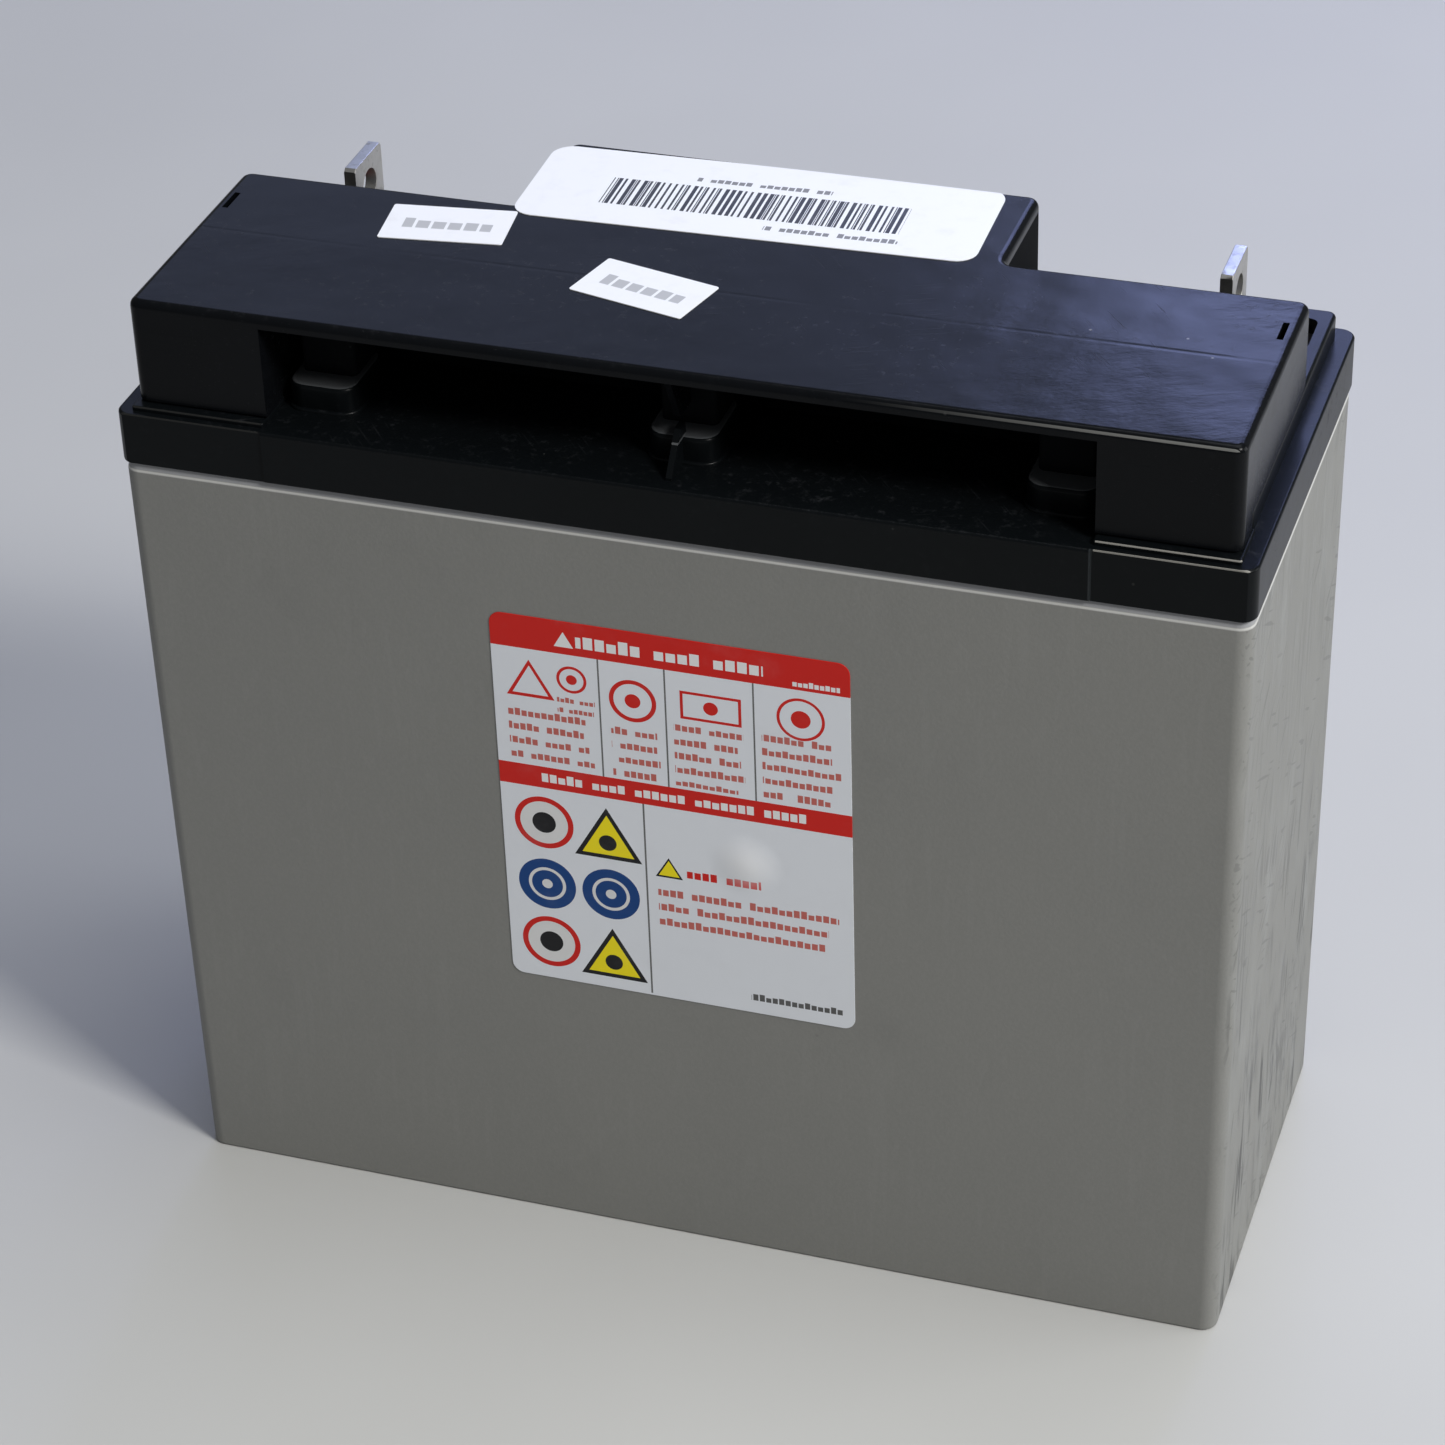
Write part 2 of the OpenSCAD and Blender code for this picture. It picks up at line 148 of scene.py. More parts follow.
# Air bubble under the front label: place from its lower left corner and radius, in millimetres
BUBBLE_U = 40.9
BUBBLE_V = 29.2
BUBBLE_R = 6.5
BUBBLE_RISE = 0.18 * MM


# ---------------------------------------------------------------- shapes

def bevel(bm, edges, width, segments):
    """Rounds edges, or cuts them at a slant with 1 segment."""
    bmesh.ops.bevel(bm, geom=edges, offset=width, offset_type="OFFSET", segments=segments, profile=0.5,
                    affect="EDGES", material=-1, clamp_overlap=True)


def level_edges(bm, z):
    """Edges that lie at one height."""
    return [e for e in bm.edges if all(abs(v.co.z - z) < 1e-6 for v in e.verts)]


def upright_edges(bm):
    """Edges that join two heights."""
    return [e for e in bm.edges if abs(e.verts[0].co.z - e.verts[1].co.z) > 1e-4]


def solid(outline, z0, z1, corner=0, top=0, foot=0, steps=6):
    """Upright solid over an outline of (x, y) points, with rounded corners, top edge and foot edge."""
    bm = bmesh.new()
    base = bm.faces.new([bm.verts.new((x, y, z0)) for x, y in outline])
    grown = bmesh.ops.extrude_face_region(bm, geom=[base])["geom"]
    risen = [v for v in grown if isinstance(v, bmesh.types.BMVert)]
    bmesh.ops.translate(bm, verts=risen, vec=(0, 0, z1 - z0))
    if corner:
        bevel(bm, upright_edges(bm), corner, steps)
    if top:
        bevel(bm, level_edges(bm, z1), top, 5)
    if foot:
        bevel(bm, level_edges(bm, z0), foot, 3)
    bmesh.ops.recalc_face_normals(bm, faces=bm.faces)
    return bm


def rect(x0, x1, y0, y1):
    """Outline of a rectangle."""
    return [(x0, y0), (x1, y0), (x1, y1), (x0, y1)]


def block(x0, x1, y0, y1, z0, z1, corner=0, top=0, foot=0):
    """Upright solid over a rectangle."""
    return solid(rect(x0, x1, y0, y1), z0, z1, corner, top, foot)


def round_bar(x, y, z0, z1, radius, segments=40):
    """Upright cylinder."""
    bm = bmesh.new()
    bmesh.ops.create_cone(bm, cap_ends=True, segments=segments, radius1=radius, radius2=radius, depth=z1 - z0)
    bmesh.ops.translate(bm, verts=bm.verts, vec=(x, y, (z0 + z1) / 2))
    return bm


def turn_to_x(bm):
    """Lays an upright shape down, so that its height runs along X."""
    bmesh.ops.rotate(bm, verts=bm.verts, matrix=Matrix.Rotation(math.pi / 2, 3, "Y"))
    return bm


def fin(points, thickness):
    """Thin upright fin on the middle plane, from (y, z) points."""
    bm = bmesh.new()
    side = bm.faces.new([bm.verts.new((-thickness / 2, y, z)) for y, z in points])
    grown = bmesh.ops.extrude_face_region(bm, geom=[side])["geom"]
    moved = [v for v in grown if isinstance(v, bmesh.types.BMVert)]
    bmesh.ops.translate(bm, verts=moved, vec=(thickness, 0, 0))
    bmesh.ops.recalc_face_normals(bm, faces=bm.faces)
    return bm


def to_object(bm, name):
    """Makes an object of a shape, which is used up."""
    mesh = bpy.data.meshes.new(name)
    bm.to_mesh(mesh)
    bm.free()
    piece = bpy.data.objects.new(name, mesh)
    bpy.context.scene.collection.objects.link(piece)
    return piece


def carve(piece, how, shapes):
    """Unites shapes with a piece, or cuts them out of it."""
    tools = [to_object(bm, "tool") for bm in shapes]
    for tool in tools:
        step = piece.modifiers.new(how, "BOOLEAN")
        step.operation = how
        step.solver = "EXACT"
        step.object = tool
    carved = piece.evaluated_get(bpy.context.evaluated_depsgraph_get())
    piece.data = bpy.data.meshes.new_from_object(carved)
    piece.modifiers.clear()
    for tool in tools:
        bpy.data.objects.remove(tool)
    return piece


def soften(piece, chosen, width, segments=2):
    """Rounds the sharp edges whose ends both pass the test."""
    bm = bmesh.new()
    bm.from_mesh(piece.data)
    bmesh.ops.remove_doubles(bm, verts=bm.verts, dist=1e-7)
    edges = [e for e in bm.edges if len(e.link_faces) == 2 and e.calc_face_angle() > 1
             and all(chosen(v.co) for v in e.verts)]
    bevel(bm, edges, width, segments)
    bm.to_mesh(piece.data)
    bm.free()


def finish_piece(piece, material, *nodes, sharp=32):
    """Smooth shading between sharp edges, one material, and the CAD nodes that the piece stands for."""
    mesh = piece.data
    for face in mesh.polygons:
        face.use_smooth = True
    mesh.set_sharp_from_angle(angle=math.radians(sharp))
    weigh = piece.modifiers.new("even_shading", "WEIGHTED_NORMAL")
    weigh.keep_sharp = True
    mesh.materials.clear()
    mesh.materials.append(material)
    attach(piece, HOUSING)
    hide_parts(*nodes)
    record = frame["record"]["subparts"]
    next(part["material_slot"] for part in record if part["node"] == nodes[0])


def near(a, b, reach=0.02 * MM):
    """Whether two places are the same, give or take a little."""
    return abs(a - b) < reach


# ---------------------------------------------------------------- shader maths

class Wire:
    """An output socket. Arithmetic on it adds Math nodes to its tree."""

    def __init__(self, socket):
        self.socket = socket

    def node(self, kind, values, settings=None, out=0):
        """Adds a node: its settings first, then the values or links of its inputs."""
        tree = self.socket.id_data
        made = tree.nodes.new(kind)
        for key, value in (settings or {}).items():
            setattr(made, key, value)
        for key, value in (values.items() if isinstance(values, dict) else enumerate(values)):
            if isinstance(value, Wire):
                tree.links.new(value.socket, made.inputs[key])
            else:
                made.inputs[key].default_value = value
        return Wire(made.outputs[out])

    def math(self, operation, *values):
        return self.node("ShaderNodeMath", values, {"operation": operation})

    def __add__(self, other):
        return self.math("ADD", self, other)

    def __sub__(self, other):
        return self.math("SUBTRACT", self, other)

    def __rsub__(self, other):
        return self.math("SUBTRACT", other, self)

    def __mul__(self, other):
        return self.math("MULTIPLY", self, other)

    def __truediv__(self, other):
        return self.math("DIVIDE", self, other)

    def __lt__(self, other):
        return self.math("LESS_THAN", self, other)

    def __gt__(self, other):
        return self.math("GREATER_THAN", self, other)

    def __abs__(self):
        return self.math("ABSOLUTE", self)

    def __and__(self, other):
        return self.math("MINIMUM", self, other)

    def __or__(self, other):
        return self.math("MAXIMUM", self, other)

    __radd__ = __add__
    __rmul__ = __mul__

    def floor(self):
        return self.math("FLOOR", self)

    def fract(self):
        return self.math("FRACT", self)

    def root(self):
        return self.math("SQRT", self)

    def between(self, low, high):
        """1 where the value lies between two limits."""
        return (self > low) * (self < high)

    def ease(self, low, high):
        """Rises smoothly from 0 at low to 1 at high."""
        return self.node("ShaderNodeMapRange", (self, low, high, 0.0, 1.0),
                         {"interpolation_type": "SMOOTHSTEP"})


class Finish:
    """A procedural material. Places are Object coordinates in millimetres."""

    def __init__(self, name, **constants):
        self.material = bpy.data.materials.new(name)
        self.material.use_nodes = True
        self.tree = self.material.node_tree
        self.shader = self.tree.nodes["Principled BSDF"]
        for key, value in constants.items():
            self.shader.inputs[key.replace("_", " ").title().replace("Ior", "IOR")].default_value = value
        coordinates = self.tree.nodes.new("ShaderNodeTexCoord")
        metres = Wire(coordinates.outputs["Object"])
        self.facing = Wire(coordinates.outputs["Normal"])
        self.place = metres.node("ShaderNodeVectorMath", {0: metres, "Scale": 1000.0}, {"operation": "SCALE"})
        self.x, self.y, self.z = self.split(self.place)
        self.relief = {}

    def split(self, vector):
        """The three values of a vector or colour."""
        first = vector.node("ShaderNodeSeparateXYZ", (vector,))
        return [Wire(first.socket.node.outputs[axis]) for axis in "XYZ"]

    def noise(self, size, detail=3.0, rough=0.5, stretch=(1, 1, 1), turn=(0, 0, 0), shift=0.0):
        """Soft noise from 0 to 1, with features of a size in millimetres, which can be stretched and turned."""
        place = self.place.node("ShaderNodeMapping", {
            "Vector": self.place, "Location": (-shift * size,) * 3, "Rotation": turn,
            "Scale": tuple(size * s for s in stretch)}, {"vector_type": "TEXTURE"})
        return place.node("ShaderNodeTexNoise", {
            "Vector": place, "Scale": 1.0, "Detail": detail, "Roughness": rough})

    def scratches(self, width, length, turn, share, shift=0.0):
        """Straight hairline scratches, which run along Y before they are turned."""
        field = self.noise(width, 0.0, 0.5, (1, length / width, 1), turn, shift)
        return field.ease(0.8 - share, 0.86 - share)

    def dots(self, size, radius, share, shift=0.0):
        """Scattered specks: a share of the cells of a Voronoi pattern holds one."""
        place = self.place.node("ShaderNodeVectorMath", {0: self.place, 1: (shift,) * 3},
                                {"operation": "ADD"})
        cell = place.node("ShaderNodeTexVoronoi", {"Vector": place, "Scale": 1 / size}, {}, "Distance")
        hue = Wire(cell.socket.node.outputs["Color"])
        kept = self.split(hue)[0] < share
        return kept * (1 - cell.ease(radius * 0.5 / size, radius / size))

    def paint(self, first, layers):
        """Colours laid one over another, each through its mask."""
        colour = first
        for mask, shade in layers:
            colour = self.place.node("ShaderNodeMix", {0: mask, 6: rgba(colour), 7: rgba(shade)},
                                     {"data_type": "RGBA"}, 2)
        self.link("Base Color", colour)

    def link(self, name, wire):
        """Links a value to one of the shader's inputs."""
        self.tree.links.new(wire.socket, self.shader.inputs[name])

    def bump(self, height, depth):
        """Relief from a height times a depth in millimetres, on top of the relief before it."""
        normal = height.node("ShaderNodeBump", {
            "Height": height, "Distance": depth * MM, "Strength": 1.0, **self.relief}, {}, "Normal")
        self.relief = {"Normal": normal}
        self.link("Normal", normal)


def rgba(colour):
    """A colour with full alpha. A wire stays as it is."""
    return colour if isinstance(colour, Wire) else (*colour, 1.0)


def grey(value):
    """A colour with no hue."""
    return (value, value, value)


# ---------------------------------------------------------------- finishes

def case_plastic():
    """Warm grey ABS with a fine spark texture, scuffed on its end walls, with painted light on its sloping rim
    and a painted highlight along the rim's lower edge.
    """
    it = Finish("case_plastic", roughness=0.5)
    cloud = it.noise(45, 3)
    fine = it.noise(0.55, 2)
    # End walls, and nearness to the floor
    end = abs(it.x).ease(88.0, 89.6)
    low = 1 - it.z.ease(10.0, 105.0)
    # Sloping rim, painted lighter and bluish to stand in for the light it catches, and its lower edge, a
    # painted highlight line
    edge_z = (rim_z - RIM_H) / MM
    painted_light_rim = it.z > edge_z + 0.2
    painted_highlight_line = it.z.ease(edge_z - 0.35, edge_z - 0.1) * (1 - it.z.ease(edge_z + 0.05, edge_z + 0.25))
    # Rubbed patches, upright scratches and stray scratches
    rub = it.noise(1.5, 3, 0.6, (1, 1, 4)).ease(0.46, 0.66)
    rub = rub * it.noise(13, 3, 0.6, (1, 1, 2), shift=31).ease(0.46, 0.58)
    upright = it.scratches(1.5, 30, (1.55, 0, 0), 0.17) | it.scratches(1.2, 13, (1.3, 0, 0), 0.13, 9)
    upright = upright * it.noise(14, 2, 0.5, (1, 1, 1.6), shift=8).ease(0.44, 0.54)
    stray = it.scratches(0.8, 12, (0.5, 0, 0), 0.1, 20) | it.scratches(0.8, 9, (-0.5, 0, 0), 0.1, 26)
    stray = stray * it.noise(16, 2, 0.5, shift=44).ease(0.48, 0.56)
    # Paler and darker clouds
    pale = it.noise(9, 4, 0.6, (1, 1, 3), shift=14).ease(0.45, 0.8) * end
    smear = it.noise(16, 4, 0.6, (1, 1, 1.5), shift=60).ease(0.55, 0.78)
    it.paint((0.203, 0.203, 0.19), [
        (cloud.ease(0.35, 0.7) * 0.5, (0.192, 0.193, 0.182)),
        (fine.ease(0.3, 0.8) * 0.22, (0.25, 0.248, 0.234)),
        (pale * 0.35, (0.31, 0.32, 0.315)),
        (smear * 0.25, (0.15, 0.15, 0.143)),
        (rub * end * (low * 0.75 + 0.05), (0.075, 0.075, 0.072)),
        (upright * end * (low * 0.75 + 0.15), (0.055, 0.055, 0.053)),
        (upright * (1 - end) * 0.05, (0.3, 0.3, 0.29)),
        (stray * end * 0.4, (0.08, 0.08, 0.077)),
        (it.dots(26, 0.6, 0.3, 5) * 0.5, (0.09, 0.09, 0.085)),
        # Painted light on the sloping rim, and a painted highlight line along its lower edge
        (painted_light_rim * 0.9, (0.29, 0.295, 0.31)),
        (painted_highlight_line * 0.85, (0.55, 0.55, 0.53)),
    ])
    it.link("Roughness", 0.44 + cloud * 0.1 + fine * 0.08 - rub * end * 0.08 - painted_highlight_line * 0.12)
    it.bump(fine, 0.03)
    it.bump(it.noise(30, 2, 0.5, (1, 1, 1.6), shift=4), 0.25)
    return it.material


def black_plastic(name, base, gloss, dusty, scratched, painted_light_marks=()):
    """Black ABS with dust, fine scratches and specks where it faces up, and the piece's own painted highlights
    and painted light.
    """
    it = Finish(name, roughness=gloss, specular_ior_level=0.1)
    up = it.split(it.facing)[2].ease(0.6, 0.95)
    cloud = it.noise(28, 4, 0.6)
    grain = it.noise(0.8, 2)
    dust = it.noise(1.6, 5, 0.7, shift=3).ease(0.52, 0.85) * (cloud.ease(0.4, 0.75) * 0.8 + 0.2)
    specks = it.dots(7, 0.3, 0.35) | it.dots(19, 0.55, 0.3, 7)
    patch = it.noise(18, 3, 0.5, shift=11)
    hairs = (it.scratches(0.2, 9, (0, 0, 0.7), 0.05) * patch.ease(0.5, 0.65)
             | it.scratches(0.2, 12, (0, 0, -1.2), 0.05, 5) * (1 - patch.ease(0.36, 0.48)))
    it.paint(base, [
        (cloud.ease(0.3, 0.8) * 0.35, tuple(c * 1.6 for c in base)),
        (dust * (up * dusty + dusty * 0.2), (0.15, 0.155, 0.17)),
        (hairs * (up * scratched + 0.02), (0.15, 0.155, 0.17)),
        (specks * (up * 0.45 + 0.06), (0.3, 0.3, 0.29)),
        # The piece's own painted highlights and painted light, laid last
        *[(make(it), colour) for make, colour in painted_light_marks],
    ])
    # The posts in the grip slot are dull
    posts = it.z.between((band_z + PAD_H) / MM + 0.1, ceiling_z / MM)
    posts = posts * (it.y > POST_FRONT / MM - 0.1) * (abs(it.x) < GRIP_X / MM)
    it.link("Roughness", (gloss + dust * 0.22 + cloud * 0.08 + hairs * 0.2) | posts * 0.9)
    it.bump(grain, 0.005)
    it.bump(it.noise(12, 2, 0.5, shift=2), 0.04)
    return it


def cover_plastic():
    """The glossier black of the top cover, which dips a little in front of its inner wall, with a painted
    highlight along the right part of its top front edge.
    """

    # Painted highlight: a paler line along the top front edge, stronger towards the right end
    def painted_highlight_front_edge(it):
        return (it.z > cover_z / MM - 0.8) * (it.y < cover_low.y / MM + 0.35) * it.x.ease(25.0, 80.0) * 0.7

    painted_light_marks = ((painted_highlight_front_edge, (0.2, 0.2, 0.19)),)
    it = black_plastic("cover_plastic", (0.0032, 0.0037, 0.0046), 0.19, 0.2, 0.07, painted_light_marks)
    top = it.z > cover_z / MM - 5
    # Broken sink mark along the inner wall, and the dip in front of it
    from_wall = it.y - (GRIP_BACK + COVER_WALL / 2) / MM
    broken = it.noise(30, 2, 0.5, shift=21).ease(0.38, 0.55)
    sink = 1 - abs(from_wall).ease(0.0, 0.7)
    it.bump(sink * (broken * 0.7 + 0.3) * top, -0.035)
    dip = (from_wall & 0.0) * 0.012 * top
    it.bump(dip, 1.0)
    # Wrinkles in patches, and a slow wave
    wrinkles = it.noise(4.5, 4, 0.65, (2.2, 1, 1), (0, 0, 0.5), 16)
    wrinkles = wrinkles * it.noise(26, 2, 0.5, shift=33).ease(0.4, 0.65)
    it.bump(wrinkles, 0.1)
    it.bump(it.noise(18, 2, 0.5, shift=72) * top, 0.3)
    return it.material


def lid_plastic():
    """The black of the lid, with painted light on the pad tops, and painted highlights on the edges at the ends
    of the front band and on the ends of the front panel.
    """
    front = lid_low.y / MM
    grip = GRIP_X / MM

    # Painted light: the tops of the pads in the grip slot are painted paler grey, as if lit
    def painted_light_pad_tops(it):
        return it.z.between((band_z + PAD_H) / MM - 0.12, (band_z + PAD_H) / MM + 0.15)

    # Painted highlights along the top edges of the band and plinths beyond the slot, stronger towards the right
    def painted_highlight_edges(it):
        band = it.z.between(band_z / MM - 0.3, band_z / MM - 0.02) * (it.y < front + 0.6)
        plinth = it.z.between(band_z / MM + 0.52, band_z / MM + 0.76) * (it.y < front + 1.9)
        return (band | plinth) * (abs(it.x) > grip + 0.4) * (it.x.ease(0.0, 40.0) * 0.67 + 0.05)

    # Painted highlight: a pale line down each end of the proud front panel
    def painted_highlight_panel_end(it):
        return (abs(it.x - grip) < 0.2) * (it.y < front + 0.4) * 0.3

    painted_light_marks = ((painted_light_pad_tops, (0.09, 0.095, 0.1)),
             (painted_highlight_edges, (0.33, 0.32, 0.29)),
             (painted_highlight_panel_end, (0.07, 0.08, 0.085)))
    it = black_plastic("lid_plastic", (0.0032, 0.0041, 0.0048), 0.27, 0.24, 0.04, painted_light_marks)
    # Rough floor of the grip slot
    slot_floor = it.z.between(band_z / MM - 0.7, band_z / MM + 0.2)
    slot_floor = slot_floor * (abs(it.x) < grip + 0.3) * (it.y < GRIP_BACK / MM + 1)
    it.bump(it.noise(1.2, 3, 0.6, shift=6) * slot_floor, 0.12)
    return it.material


def plain_finish(name, colour, rough, mark, mark_colour, grain_size, grain_depth, metallic=0.0):
    """A finish with marks and a grain, for pieces without a pattern of their own."""
    it = Finish(name, roughness=rough, metallic=metallic)
    cloud = it.noise(mark, 4, 0.6)
    grain = it.noise(grain_size, 3)
    pale = tuple(shade * 1.5 + 0.004 for shade in colour)
    it.paint(colour, [(cloud.ease(0.35, 0.75), mark_colour), (grain.ease(0.5, 0.9) * 0.4, pale)])
    it.link("Roughness", rough + cloud * 0.15 + grain * 0.1)
    it.bump(grain, grain_depth)
    return it.material


def tinned_metal():
    """Tin plate, bright, with a few dull and darker spots and stamping lines."""
    it = Finish("tinned_metal", metallic=1.0, roughness=0.3)
    cloud = it.noise(3.5, 4, 0.6)
    drag = it.noise(0.5, 3, 0.5, (1, 1, 12))
    spots = it.noise(1.1, 4, 0.6, shift=4).ease(0.55, 0.75)
    it.paint((0.5, 0.49, 0.465), [
        (cloud.ease(0.4, 0.7) * 0.6, (0.4, 0.395, 0.38)),
        (spots * 0.5, (0.22, 0.215, 0.2)),
        (drag.ease(0.5, 0.8) * 0.25, (0.62, 0.61, 0.59)),
    ])
    it.link("Roughness", 0.3 + cloud * 0.18 + spots * 0.2)
    it.bump(drag, 0.02)
    it.bump(cloud, 0.06)
    return it.material


class Print(Finish):
    """Print on a label. u and v are millimetres from the label's lower left corner."""

    def __init__(self, name, u, v, paper, **constants):
        super().__init__(name, **constants)
        self.u = u(self)
        self.v = v(self)
        self.layers = []
        self.paper = paper

    def ink(self, mask, colour):
        """Prints a colour over what is there."""
        self.layers.append((mask, colour))

    def bar(self, u0, u1, v0, v1):
        """Rectangle."""
        return self.u.between(u0, u1) * self.v.between(v0, v1)

    def greeking(self, u0, u1, v0, v1, pitch, seed, ragged=0.3):
        """Rows of small plain blocks of mixed heights in the place of words."""
        down = (v1 - self.v) / pitch
        row = down.floor()
        column = self.u / (pitch * 0.42) + row * 7.31 + seed
        block = column.floor() * 1.37
        top = 0.24 + 0.2 * self.random(block + 0.5)
        inked = (down.fract() > top) * (down.fract() < 0.76)
        inked = inked * (column.fract() < 0.8) * (self.random(block) > 0.16)
        end = u1 - (u1 - u0) * ragged * self.random(row + seed * 1.7)
        return inked * (self.u > u0) * (self.u < end) * self.v.between(v0, v1)

    def random(self, value):
        """The same random number from 0 to 1 for the same value."""
        return value.node("ShaderNodeTexWhiteNoise", {"W": value}, {"noise_dimensions": "1D"})

    def away(self, u, v):
        """Distance from a point."""
        du = self.u - u
        dv = self.v - v
        return (du * du + dv * dv).root()

    def disc(self, u, v, radius):
        return self.away(u, v) < radius

    def ring(self, u, v, radius, width):
        return self.away(u, v).between(radius - width, radius)

    def triangle(self, u, base, half, height):
        """Upright triangle on its base."""
        slope = abs(self.u - u) * (height / half)
        return ((self.v - base + slope) < height) * (self.v > base)

    def done(self):
        """Lays the inks on the paper."""
        self.paint(self.paper, self.layers)


PAPER = (0.72, 0.745, 0.79)
RED = (0.58, 0.014, 0.009)
INK_RED = (0.5, 0.13, 0.11)
BLUE = (0.006, 0.05, 0.2)
YELLOW = (0.86, 0.72, 0.01)
DARK = (0.011, 0.011, 0.013)


def front_print():
    """Film label: two colour bands, ruled columns, plain signs and dashes, and a painted highlight on the air
    bubble.
    """
    width = (front_label_high.x - front_label_low.x) / MM
    left = front_label_low.x / MM
    foot = front_label_low.z / MM
    it = Print("label_front", lambda p: p.x - left, lambda p: p.z - foot, PAPER, roughness=0.32,
               specular_ior_level=0.2)
    head_v, band_low, band_high = 64.0, 37.9, 42.0
    rules = (17.7, 28.6, 43.0)
    # Four columns of small print, each under a plain sign
    columns = ((2.2, 16.9, 53.2, 1), (19.4, 27.4, 52.6, 2), (29.8, 41.6, 55.0, 3), (44.2, 57.2, 55.6, 4))
    for u0, u1, top, seed in columns:
        it.ink(it.greeking(u0, u1, band_high + 0.6, top, 2.65, seed, 0.15), INK_RED)
    it.ink(it.triangle(6.2, 55.0, 4.0, 7.0) * (1 - it.triangle(6.2, 55.6, 3.0, 5.3)), RED)
    it.ink(it.ring(13.2, 59.4, 2.5, 0.5) | it.disc(13.2, 59.4, 0.9), RED)
    it.ink(it.greeking(10.6, 17.0, 53.0, 56.4, 1.9, 5, 0.1), INK_RED)
    it.ink(it.ring(23.2, 57.2, 3.9, 0.75) | it.disc(23.2, 57.2, 1.3), RED)
    box_sign = it.bar(31.0, 41.0, 55.4, 60.6) * (1 - it.bar(31.5, 40.5, 55.9, 60.1))
    it.ink(box_sign | it.disc(36.0, 58.0, 1.2), RED)
    it.ink(it.ring(50.6, 58.6, 3.9, 0.5) | it.disc(50.6, 58.6, 1.6), RED)
    for u in rules:
        it.ink(it.bar(u - 0.14, u + 0.14, band_high, head_v), grey(0.13))
    it.ink(it.bar(24.0, 24.3, 0.4, band_low), grey(0.13))
    # Two colour bands
    it.ink(it.bar(-1, width + 1, head_v, 80), RED)
    it.ink(it.bar(-1, width + 1, band_low, band_high), RED)
    it.ink(it.greeking(14.2, 44.7, 64.4, 69.0, 4.6, 9, 0.0), grey(0.78))
    it.ink(it.triangle(12.2, 65.3, 1.6, 2.8), grey(0.78))
    it.ink(it.greeking(49.4, 57.0, 64.1, 66.2, 2.1, 10, 0.0), grey(0.78))
    it.ink(it.greeking(7.2, 51.2, 38.3, 41.7, 3.4, 12, 0.0), grey(0.78))
    # Six signs in the lower left: dots in rings, triangles and blue discs
    for v in (31.1, 7.4):
        it.ink(it.disc(7.1, v, 4.6), grey(0.7))
        it.ink(it.disc(7.1, v, 2.0), DARK)
        it.ink(it.ring(7.1, v, 5.0, 0.95), RED)
    for v in (26.0, 2.2):
        it.ink(it.triangle(17.8, v, 5.7, 9.9), DARK)
        it.ink(it.triangle(17.8, v + 0.75, 4.4, 7.7), YELLOW)
        it.ink(it.disc(17.8, v + 3.1, 1.5), DARK)
    for u in (7.0, 17.9):
        it.ink(it.disc(u, 19.0, 4.9), BLUE)
        it.ink(it.ring(u, 19.0, 3.2, 0.55) | it.disc(u, 19.0, 0.9), grey(0.7))
    # Small print in the lower right, under a small triangle
    it.ink(it.triangle(28.0, 24.2, 2.3, 3.9), DARK)
    it.ink(it.triangle(28.0, 24.55, 1.75, 3.0), YELLOW)
    it.ink(it.greeking(31.0, 43.4, 24.0, 27.2, 3.2, 15, 0.0), RED)
    it.ink(it.greeking(26.0, 57.2, 14.0, 22.7, 2.9, 17, 0.12), INK_RED)
    it.ink(it.greeking(41.2, 56.6, 1.9, 4.5, 2.6, 19, 0.0), grey(0.1))
    dirt = it.noise(9, 4, 0.6).ease(0.5, 0.85)
    bubble = 1 - it.away(BUBBLE_U, BUBBLE_V).ease(0.0, BUBBLE_R)
    it.ink(dirt * 0.1, (0.4, 0.4, 0.42))
    # Painted highlight: the middle of the air bubble is inked paler; the same height also drives the bump below
    it.ink(bubble * 0.5, grey(0.9))
    it.done()
    it.link("Roughness", 0.3 + dirt * 0.15)
    it.bump(it.noise(6, 2, 0.5, shift=9), 0.03)
    it.bump(bubble, 0.35)
    return it.material


def laid_size(node, turn, corner):
    """Length and width of a label with round corners, from the box that it fills when turned."""
    low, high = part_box(node)
    wide, deep = high.x - low.x - 2 * corner, high.y - low.y - 2 * corner
    c, s = math.cos(turn), abs(math.sin(turn))
    shrink = c * c - s * s
    return (wide * c - deep * s) / shrink + 2 * corner, (deep * c - wide * s) / shrink + 2 * corner


def turned(node, turn, corner):
    """Readers of the place along a label that lies turned on the cover, from its own lower left corner."""
    low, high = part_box(node)
    middle = (low + high) / 2 / MM
    length, width = (size / MM for size in laid_size(node, turn, corner))
    c, s = math.cos(turn), math.sin(turn)

    def along(p):
        return (p.x - middle.x) * c + (p.y - middle.y) * s + length / 2

    def across(p):
        return (p.y - middle.y) * c - (p.x - middle.x) * s + width / 2

    return along, across


def white_print(name, node, turn, corner, draw):
    """White label that lies on the cover."""
    along, across = turned(node, turn, corner)
    it = Print(name, along, across, (0.83, 0.84, 0.86), roughness=0.42)
    draw(it)
    dirt = it.noise(5, 4, 0.65).ease(0.48, 0.85)
    it.ink(dirt * 0.16, (0.45, 0.46, 0.5))
    it.done()
    it.link("Roughness", 0.4 + dirt * 0.15)
    it.bump(it.noise(8, 2, 0.5, shift=5), 0.04)
    return it.material


